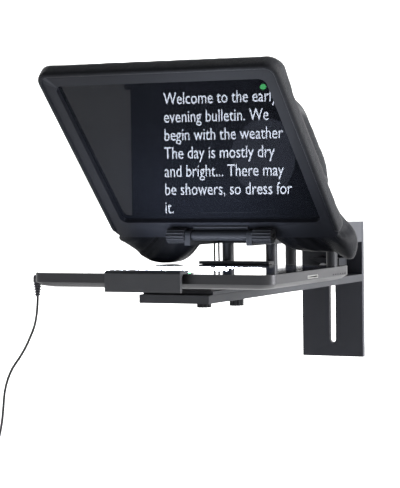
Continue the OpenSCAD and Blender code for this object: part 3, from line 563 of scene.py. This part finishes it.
# The mirror leans at 45 degrees: UPHILL runs up its face and FRONTWARD out of it, from CORNER.
SLOPE = math.sqrt(0.5)
UPHILL, FRONTWARD = Vector((0, -SLOPE, SLOPE)), Vector((0, -SLOPE, -SLOPE))
CORNER = Vector((0, -0.0825, 0.0723))
FRAME_W, FRAME_LOW, FRAME_HIGH = 0.1205, -0.021, 0.199
# Points along a long side, a corner and a short side of the hood's loops
N_LONG, N_BEND, N_SIDE = 44, 10, 40
N_LOOP = 2 * (N_LONG + N_SIDE) + 4 * N_BEND
BACK_Y = -0.0062


def on_mirror(x, s, out):
    """Point on the mirror's plane, s uphill of CORNER and out in front of it."""
    return CORNER + Vector((x, 0, 0)) + UPHILL * s + FRONTWARD * out


def outline(w, low, high, r):
    """Rounded rectangle from the top left, clockwise, the same number of points on each side and corner."""
    across, down = 2 * (w - r), high - low - 2 * r
    bends = [math.pi / 2 * k / N_BEND for k in range(N_BEND)]
    points = [(-(w - r) + across * k / N_LONG, high) for k in range(N_LONG)]
    points += [(w - r + r * math.sin(a), high - r + r * math.cos(a)) for a in bends]
    points += [(w, high - r - down * k / N_SIDE) for k in range(N_SIDE)]
    points += [(w - r + r * math.cos(a), low + r - r * math.sin(a)) for a in bends]
    points += [(w - r - across * k / N_LONG, low) for k in range(N_LONG)]
    points += [(-(w - r) - r * math.sin(a), low + r - r * math.cos(a)) for a in bends]
    points += [(-w, low + r + down * k / N_SIDE) for k in range(N_SIDE)]
    points += [(-(w - r) - r * math.cos(a), high - r + r * math.sin(a)) for a in bends]
    return points


def lower_side():
    """1 for a loop's points along its lower side, 0 elsewhere, changing over the lower corners."""
    first = N_LONG + N_BEND + N_SIDE
    w = np.zeros(N_LOOP)
    for k in range(N_BEND):
        w[first + k] = k / N_BEND
        w[first + N_BEND + N_LONG + k] = 1 - k / N_BEND
    w[first + N_BEND: first + N_BEND + N_LONG] = 1
    return w * w * (3 - 2 * w)


# Folds: height in mm, how many go round the hood, where the noise is taken, and how it changes along it
FOLD_SIZES = [(2.2, 3.4, (0, 0), 1.1), (1.5, 9.0, (5, 3), 1.8), (0.7, 22.0, (1, 9), 3.5)]


def folds(p, hold):
    """Soft folds that run from the mirror's frame back to the lens board."""
    around = np.roll(p, -1, 1) - np.roll(p, 1, 1)
    down = np.gradient(p, axis=0)
    normal = np.cross(down, around)
    normal /= np.maximum(np.linalg.norm(normal, axis=2), 1e-9)[..., None]
    rows, n = p.shape[:2]
    lift = np.zeros((rows, n))
    for i in range(rows):
        v = i / rows
        for k in range(n):
            a = 2 * math.pi * (k + 2.5 * math.sin(3 * v)) / n
            ring = Vector((math.cos(a), math.sin(a), 0))
            lift[i, k] = sum(height * noise.noise(ring * count + Vector((*place, v * change)))
                             for height, count, place, change in FOLD_SIZES)
    return normal * (lift * hold * MM)[..., None]


def sag(p, hold, left_drop, right_drop):
    """Lowers the two slack lobes under the mirror's lower corners."""
    left = np.clip((0.052 - p[..., 2]) / 0.016, 0, 1) * (p[..., 0] < -0.02)
    right = np.clip((p[..., 0] - 0.085) / 0.02, 0, 1) * np.clip((0.075 - p[..., 2]) / 0.035, 0, 1)
    p[..., 2] -= (left_drop * left + right_drop * right) * hold
    return p


# Rows of the cloth turned over the frame, from its face to its back: how far the row stands out from the
# frame's edge and its height over the frame's face, then both again along the lower side.
HEM_ROWS = [(-0.0030, 0.0005, -0.0080, -0.0121), (-0.0005, 0.0009, -0.0062, -0.0121),
            (0.0006, 0.0004, -0.0044, -0.0121), (0.0011, -0.0012, -0.0026, -0.0121),
            (0.0012, -0.0050, -0.0012, -0.0121), (0.0012, -0.0090, -0.0004, -0.0122),
            (0.0010, -0.0125, 0.0002, -0.0126)]
# Rows on the lens board: how far outside its edge, and their Y, then their Y along the lower side
BOARD_ROWS = [(0.0012, BACK_Y, BACK_Y), (0.0012, -0.0040, -0.0060), (0.0010, -0.0012, -0.0058)]
BODY_ROWS = 29
HOOD_ROWS = len(HEM_ROWS) + BODY_ROWS + len(BOARD_ROWS)
LOOSE = slice(len(HEM_ROWS), HOOD_ROWS - len(BOARD_ROWS))
HOOD_EYE = np.array((0.0, -0.046, 0.112))


def hem_row(grow, out, grow_low, out_low, low):
    rows = []
    for shift, level in ((grow, out), (grow_low, out_low)):
        loop = outline(FRAME_W + shift, FRAME_LOW - shift, FRAME_HIGH + shift, 0.011 + shift)
        rows.append(np.array([on_mirror(x, s, level) for x, s in loop]))
    return rows[0] * (1 - low[:, None]) + rows[1] * low[:, None]


def board_row(grow, y, y_low, low):
    loop = outline(0.062 + grow, 0.064 - grow, 0.200 + grow, 0.040 + grow)
    return np.array([(x, y * (1 - w) + y_low * w, z) for (x, z), w in zip(loop, low)])


def reach_outside(body, reach):
    """How far from HOOD_EYE each point has to lie to be on the outer surface of the CAD hood."""
    solid = NODES["hood"].data
    tree = BVHTree.FromPolygons([v.co for v in solid.vertices], [tuple(p.vertices) for p in solid.polygons])
    far = reach.copy()
    for i in range(body.shape[0]):
        for k in range(N_LOOP):
            way = Vector((body[i, k] - HOOD_EYE) / reach[i, k])
            start = Vector(HOOD_EYE)
            travelled = 0.0
            for _ in range(8):
                hit = tree.ray_cast(start, way, 0.3)
                if hit[0] is None:
                    break
                travelled = (hit[0] - Vector(HOOD_EYE)).length
                start = hit[0] + way * 1e-5
            far[i, k] = max(reach[i, k] - 0.001, travelled)
    return far


def hood_shape():
    """Grid of points: the hem, the loose cloth pushed out to the CAD hood's form, and the board's rows."""
    low = lower_side()
    head = np.array([hem_row(*row, low) for row in HEM_ROWS])
    tail = np.array([board_row(*row, low) for row in BOARD_ROWS])
    steps = [i / (BODY_ROWS + 1) for i in range(1, BODY_ROWS + 1)]
    body = np.array([head[-1] * (1 - v) + tail[0] * v for v in steps])

    reach = np.linalg.norm(body - HOOD_EYE, axis=2)
    ramp = np.linspace(0, 1, BODY_ROWS + 2)[1:-1]
    hold = np.clip(ramp / 0.14, 0, 1) * np.clip((1 - ramp) / 0.12, 0, 1)
    hold = (hold * hold * (3 - 2 * hold))[:, None]
    extra = (reach_outside(body, reach) - reach) * 1.10
    for _ in range(3):
        padded = np.vstack([np.zeros((1, N_LOOP)), extra, np.zeros((1, N_LOOP))])
        beside = padded[:-2] + padded[2:] + np.roll(extra, 1, 1) + np.roll(extra, -1, 1)
        extra = 0.4 * extra + 0.15 * beside
    further = reach + extra * hold
    body = HOOD_EYE + (body - HOOD_EYE) / reach[..., None] * further[..., None]
    body = body + folds(body, hold)
    body = sag(body, hold, left_drop=0.0090, right_drop=0.0070)
    return np.vstack([head, body, tail])


# The lowest the cloth may hang, across the object: over the tablet and outside it on both sides
LOW_X = (-0.136, -0.124, -0.110, -0.093, -0.085, -0.067, -0.055, -0.038, 0.050, 0.058, 0.106, 0.114, 0.127,
         0.136)
LOW_Z = (0.070, 0.053, 0.0410, 0.0332, 0.0316, 0.0316, 0.0390, 0.0470, 0.0500, 0.0445, 0.0430, 0.0362, 0.0362,
         0.055)
BRACKET_HALF, BRACKET_Z = 0.0385, 0.0634
BEHIND_FRAME, FRAME_FOOT = 0.0127, -0.0205


def keep_clear(p):
    """Keeps the loose rows behind the frame, in front of the board and above the bracket."""
    q = p[LOOSE]
    place = q - np.array(CORNER)
    s, out = place @ np.array(UPHILL), place @ np.array(FRONTWARD)
    over = np.clip(out + BEHIND_FRAME, 0, None) * (s > FRAME_FOOT)
    q -= over[..., None] * np.array(FRONTWARD)
    middle = np.abs(q[..., 0]) < BRACKET_HALF
    q[..., 2] = np.where(middle, np.maximum(q[..., 2], BRACKET_Z), q[..., 2])
    q[..., 2] = np.maximum(q[..., 2], np.interp(q[..., 0], LOW_X, LOW_Z))
    q[..., 1] = np.minimum(q[..., 1], BACK_Y)
    p[LOOSE] = q
    return p


def hood_mesh(p):
    """Grid mesh with a cloth map in metres, one step of it for each row and column."""
    column, row = 0.0044, 0.0065
    mesh = bpy.data.meshes.new("hood_cloth")
    faces = [(i * N_LOOP + k, (i + 1) * N_LOOP + k, (i + 1) * N_LOOP + (k + 1) % N_LOOP,
              i * N_LOOP + (k + 1) % N_LOOP) for i in range(HOOD_ROWS - 1) for k in range(N_LOOP)]
    mesh.from_pydata([tuple(v) for v in p.reshape(-1, 3)], [], faces)
    mesh.polygons.foreach_set("use_smooth", [True] * len(mesh.polygons))
    layer = mesh.uv_layers.new(name="metres")
    for poly in mesh.polygons:
        for loop in poly.loop_indices:
            i, k = divmod(mesh.loops[loop].vertex_index, N_LOOP)
            along = N_LOOP if k == 0 and poly.index % N_LOOP == N_LOOP - 1 else k
            layer.data[loop].uv = (along * column, i * row)
    mesh.materials.append(MAT["hood"])
    return mesh


def relax(o, pinned, frames, slack, gravity, cap):
    """Runs Blender's cloth on o and returns its points, each moved no further than cap."""
    before = np.array([v.co for v in o.data.vertices])
    group = o.vertex_groups.new(name="held")
    for i, w in enumerate(pinned):
        if w > 0:
            group.add([i], float(w), "REPLACE")
    mod = o.modifiers.new("cloth", "CLOTH")
    c = mod.settings
    c.quality = 6
    c.mass = 0.12
    c.tension_stiffness = c.compression_stiffness = 12
    c.shear_stiffness = 6
    c.bending_stiffness = 0.08
    c.vertex_group_mass = "held"
    c.shrink_min = -slack
    c.effector_weights.gravity = gravity
    mod.collision_settings.use_collision = False
    scene = bpy.context.scene
    mod.point_cache.frame_start, mod.point_cache.frame_end = 1, frames
    for f in range(1, frames + 1):
        scene.frame_set(f)
    dg = bpy.context.evaluated_depsgraph_get()
    after = np.array([v.co for v in o.evaluated_get(dg).data.vertices])
    o.modifiers.remove(mod)
    scene.frame_set(1)
    move = after - before
    far = np.linalg.norm(move, axis=1)
    move *= np.minimum(1, cap / np.maximum(far, 1e-9))[:, None]
    return before + move


def make_hood():
    """Makes the hood's sheet and returns its points."""
    p = keep_clear(hood_shape())
    hood = bpy.data.objects.new("hood_sheet", hood_mesh(p))
    bpy.context.scene.collection.objects.link(hood)
    pinned = np.ones((HOOD_ROWS, N_LOOP))
    pinned[LOOSE] = 0
    p = relax(hood, pinned.ravel(), frames=24, slack=0.07, gravity=0.35, cap=0.0075).reshape(p.shape)
    ramp = np.linspace(0, 1, HOOD_ROWS)[:, None]
    p = sag(p, np.clip(4 * ramp * (1 - ramp), 0, 1), left_drop=0.0055, right_drop=0.0)
    p = keep_clear(p)
    hood.data.vertices.foreach_set("co", p.astype(np.float32).ravel())
    soften(hood, 0.7 * MM)
    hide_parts("hood")
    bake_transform(hood)
    return p


def make_pane():
    """Beam-splitter: a bevelled plate whose front face alone is coated."""
    place = [v.co - CORNER for v in NODES["mirror_glass"].data.vertices]
    across = max(abs(q.x) for q in place)
    up = [q.dot(UPHILL) for q in place]
    out = [q.dot(FRONTWARD) for q in place]
    front, back, cut = max(out), min(out), 0.4 * MM
    verts = []
    for inset, level in ((cut, front), (0, front - cut), (0, back + cut), (cut, back)):
        loop = outline(across - inset, min(up) + inset, max(up) - inset, 0.007 - inset)
        verts += [on_mirror(x, s, level) for x, s in loop]
    pane = piece("mirror_pane", verts, ring_faces(4, N_LOOP), "mirror", "mirror", smooth=False)
    pane.data.materials.append(MAT["mirror_face"])
    middle = (CORNER + FRONTWARD * (front + back) / 2).dot(FRONTWARD)
    for poly in pane.data.polygons:
        poly.material_index = int(len(poly.vertices) > 4 and poly.center.dot(FRONTWARD) > middle)
    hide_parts("mirror_glass")


STITCH_LONG, STITCH_R, STITCH_STEP = 2.4 * MM, 0.3 * MM, 3.6 * MM


def make_hem_stitches(hem):
    """A row of short rounded stitches along the hood's hem, over the frame's upper side and both ends."""
    centre = on_mirror(0, 0.089, -0.005)
    first = N_LOOP - N_SIDE - N_BEND
    run = [Vector(hem[i % N_LOOP]) for i in range(first, N_LOOP + N_LONG + N_BEND + N_SIDE)]
    verts, faces = [], []
    walked, due = 0.0, 0.0
    for a, b in zip(run, run[1:]):
        step = (b - a).length
        along = (b - a).normalized()
        up = a - centre
        up = (up - up.dot(FRONTWARD) * FRONTWARD - up.dot(along) * along).normalized()
        side = along.cross(up).normalized()
        while due < walked + step:
            middle = a + along * (due - walked) + up * 0.35 * MM
            faces += ring_faces(4, 6, offset=len(verts))
            for t, size in ((-0.5, 0.3), (-0.3, 1.0), (0.3, 1.0), (0.5, 0.3)):
                for k in range(6):
                    angle = math.pi * k / 3
                    verts.append(middle + along * (t * STITCH_LONG) + size * STITCH_R
                                 * (math.cos(angle) * side + math.sin(angle) * up))
            due += STITCH_STEP
        walked += step
    piece("hood_stitches", verts, faces, "thread", "mirror")


HOOD = make_hood()
make_pane()
make_hem_stitches(HOOD[4])


# ---------- lens sleeve and pads ----------

def make_sleeve():
    """Gathered collar behind the board, with the drawstring's channel at its rear edge."""
    front, deep, middle = -0.0014, 0.0335, Vector((0, 0, 0.137))
    around, along = 160, 22
    wide, gather, channel = 0.0475, 0.0085, 0.86
    verts, uv = [], []
    for j in range(along):
        t = j / (along - 1)
        base = wide + 0.0015 * math.sin(math.pi * min(1, t * 1.4)) - gather * t * t
        if t > channel:
            base += 0.0011 * math.sin(math.pi * (t - channel) / (1 - channel))
        for k in range(around):
            a = 2 * math.pi * k / around
            pleat = 0.0005 * t * t * (math.cos(26 * a + 1.9 * math.sin(3 * a)) + 0.7 * math.cos(17 * a + 1.3)
                                      + 0.6 * math.cos(37 * a + 2 * math.sin(2 * a)))
            r = base + pleat
            verts.append(middle + Vector((r * math.sin(a), front + deep * t, r * math.cos(a))))
            uv.append((k * 0.0019, deep * t))
    faces = [(j * around + k, j * around + (k + 1) % around, (j + 1) * around + (k + 1) % around,
              (j + 1) * around + k) for j in range(along - 1) for k in range(around)]
    sleeve = piece("sleeve_cloth", verts, faces, "sleeve", "chassis", uv=uv)
    soften(sleeve, 0.9 * MM)
    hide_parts("lens_sleeve")


def make_pad(name, node, body):
    """Foam strip with rounded edges and slightly bowed faces."""
    low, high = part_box(node)
    size, centre = high - low, (high + low) / 2
    steps = (24, 4, 6)
    verts, index, faces = [], {}, []

    def vertex(key):
        if key not in index:
            x, y, z = (2 * a / n - 1 for a, n in zip(key, steps))
            shrink = 1 - 0.05 * sorted((abs(x), abs(y), abs(z)))[1] ** 6
            bow = 1 - 0.04 * x ** 2
            p = (x * (1 - 0.01 * abs(y * z)), y * shrink * 0.985, z * shrink * bow)
            verts.append(centre + Vector([c * length / 2 for c, length in zip(p, size)]))
            index[key] = len(verts) - 1
        return index[key]

    for axis in range(3):
        u, v = [a for a in range(3) if a != axis]
        for end in (0, steps[axis]):
            for i in range(steps[u]):
                for j in range(steps[v]):
                    quad = []
                    for du, dv in ((0, 0), (1, 0), (1, 1), (0, 1)):
                        key = [0, 0, 0]
                        key[axis], key[u], key[v] = end, i + du, j + dv
                        quad.append(vertex(tuple(key)))
                    flip = (end == 0) != (axis == 1)
                    faces.append(tuple(reversed(quad)) if flip else tuple(quad))
    pad = piece(name, verts, faces, "foam", body)
    soften(pad)
    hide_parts(node)


make_sleeve()
make_pad("front_foam", "front_clamp_pad", "front_clamp")
make_pad("rear_foam", "rear_clamp_pad", "rear_clamp")


# ---------- the tablet's picture ----------

SCRIPT = ["Welcome to the early", "evening bulletin. We", "begin with the weather", "The day is mostly dry",
          "and bright... There may", "be showers, so dress for", "it."]


TEXT_X, FIRST_LINE_Y, LINE_STEP = -0.0838, -0.1936, 0.0183
LETTER_SIZE, LETTER_WIDTH = 0.01726, 0.81
MARK_X, MARK_Y, MARK_WIDTH = 0.0265, -0.2080, 1.2
GROUND_UP, LETTERS_UP = 0.02 * MM, 0.05 * MM


def text_mesh(words):
    """Flat mesh of one line of words, from Blender's own font."""
    data = bpy.data.curves.new("line", "FONT")
    data.body = words
    data.size = LETTER_SIZE
    data.resolution_u = 3
    o = bpy.data.objects.new("line", data)
    bpy.context.scene.collection.objects.link(o)
    dg = bpy.context.evaluated_depsgraph_get()
    dg.update()
    mesh = bpy.data.meshes.new_from_object(o.evaluated_get(dg))
    bpy.data.objects.remove(o)
    return mesh


def make_picture():
    """The lit ground, the lines of text, turned over so that the mirror shows them upright, and a mark."""
    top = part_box("tablet_glass")[1].z
    low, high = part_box("tablet_display")
    steps = 12
    verts = [(low.x + (high.x - low.x) * i / steps, low.y + (high.y - low.y) * j / steps, top + GROUND_UP)
             for j in range(steps + 1) for i in range(steps + 1)]
    row = steps + 1
    faces = [(j * row + i, j * row + i + 1, (j + 1) * row + i + 1, (j + 1) * row + i)
             for j in range(steps) for i in range(steps)]
    ground = piece("picture_ground", verts, faces, "dark_screen", "chassis", smooth=False)

    verts, faces = [], []
    for line, words in enumerate(SCRIPT):
        mesh = text_mesh(words)
        base = len(verts)
        y = FIRST_LINE_Y + line * LINE_STEP
        verts += [(TEXT_X + v.co.x * LETTER_WIDTH, y - v.co.y, top + LETTERS_UP) for v in mesh.vertices]
        faces += [tuple(base + i for i in reversed(p.vertices)) for p in mesh.polygons]
    letters = piece("picture_letters", verts, faces, "text", "chassis", smooth=False)

    spot, sides = [], 28
    for r in (0.0, 1.6, 2.8):
        for k in range(sides if r else 1):
            a = 2 * math.pi * k / sides
            spot.append((MARK_X + r * MM * math.cos(a) * MARK_WIDTH, MARK_Y + r * MM * math.sin(a),
                         top + LETTERS_UP))
    faces = [(0, 1 + k, 1 + (k + 1) % sides) for k in range(sides)]
    faces += [(1 + k, 1 + sides + k, 1 + sides + (k + 1) % sides, 1 + (k + 1) % sides) for k in range(sides)]
    mark = piece("picture_mark", spot, faces, "green", "chassis", smooth=False)


make_picture()


# ---------- stage and light ----------

FLOOR_Z, FLOOR_HALF = -0.42, 14
BACK_WALL_Y, BACK_WALL_HALF, BACK_WALL_TOP = 6.5, 9, 6


def stage_mesh(name, verts, colour, rough, glow, near=0.0, far=0.0):
    """One plain lit face; with near and far, its glow rises between those distances from the object."""
    m, nt, bsdf = nodes_of(name)
    coord = add(nt, "ShaderNodeTexCoord").outputs["Object"]
    n = add(nt, "ShaderNodeTexNoise", Scale=0.7, Detail=2.0)
    nt.links.new(coord, n.inputs["Vector"])
    shade = two_colours(nt, n.outputs["Fac"], tuple(c * 0.985 for c in colour), colour)
    nt.links.new(shade, bsdf.inputs["Base Color"])
    bsdf.inputs["Roughness"].default_value = rough
    bsdf.inputs["Specular IOR Level"].default_value = 0.1
    bsdf.inputs["Emission Color"].default_value = (1, 1, 1, 1)
    bsdf.inputs["Emission Strength"].default_value = glow
    if near:
        away = add(nt, "ShaderNodeVectorMath", operation="LENGTH")
        nt.links.new(coord, away.inputs[0])
        ramp = add(nt, "ShaderNodeMapRange", interpolation_type="SMOOTHSTEP")
        for key, value in (("From Min", near), ("From Max", far), ("To Min", 0.0), ("To Max", glow)):
            ramp.inputs[key].default_value = value
        nt.links.new(away.outputs["Value"], ramp.inputs["Value"])
        nt.links.new(ramp.outputs["Result"], bsdf.inputs["Emission Strength"])
    mesh = bpy.data.meshes.new(name)
    mesh.from_pydata(verts, [], [(0, 1, 2, 3)])
    mesh.materials.append(m)
    o = bpy.data.objects.new(name, mesh)
    bpy.context.scene.collection.objects.link(o)


def area_light(name, place, aim, size, power):
    data = bpy.data.lights.new(name, "AREA")
    data.shape = "RECTANGLE"
    data.size, data.size_y = size
    data.energy = power
    o = bpy.data.objects.new(name, data)
    o.location = place
    o.rotation_mode = "QUATERNION"
    o.rotation_quaternion = (Vector(aim) - Vector(place)).to_track_quat("-Z", "Y")
    bpy.context.scene.collection.objects.link(o)


def make_world():
    """Dim bluish light all round; what the camera sees past the stage is plain white."""
    world = bpy.data.worlds.new("studio")
    world.use_nodes = True
    nt = world.node_tree
    back = nt.nodes["Background"]
    back.inputs["Color"].default_value = (0.92, 0.95, 1.0, 1)
    back.inputs["Strength"].default_value = 0.15
    seen = add(nt, "ShaderNodeBackground", Color=(1, 1, 1, 1), Strength=1.0)
    mix = add(nt, "ShaderNodeMixShader")
    nt.links.new(add(nt, "ShaderNodeLightPath").outputs["Is Camera Ray"], mix.inputs[0])
    nt.links.new(back.outputs[0], mix.inputs[1])
    nt.links.new(seen.outputs[0], mix.inputs[2])
    nt.links.new(mix.outputs[0], nt.nodes["World Output"].inputs["Surface"])
    bpy.context.scene.world = world


def make_stage():
    z, r = FLOOR_Z, FLOOR_HALF
    stage_mesh("floor", [(-r, -r, z), (r, -r, z), (r, r, z), (-r, r, z)], (0.86, 0.86, 0.86), 0.7, 0.85,
               near=1.1, far=3.4)
    y, w, top = BACK_WALL_Y, BACK_WALL_HALF, BACK_WALL_TOP
    stage_mesh("backdrop", [(-w, y, z), (w, y, z), (w, y, top), (-w, y, top)], (0.8, 0.8, 0.8), 0.8, 0.62)
    make_world()
    area_light("overhead", (0.1, 0.9, 2.4), (0, 0, 0), (2.6, 1.8), 34)
    area_light("right", (2.3, 0.5, 0.8), (0, 0, 0.05), (1.2, 1.6), 105)
    area_light("left_rear", (-2.4, 1.6, 1.2), (0, 0, 0.05), (1.2, 1.6), 12)
    area_light("floor_wash", (-2.2, 4.1, 2.6), (-2.4, 4.6, z), (5.5, 3.5), 200)


make_stage()
bpy.context.scene.view_settings.view_transform = "Standard"
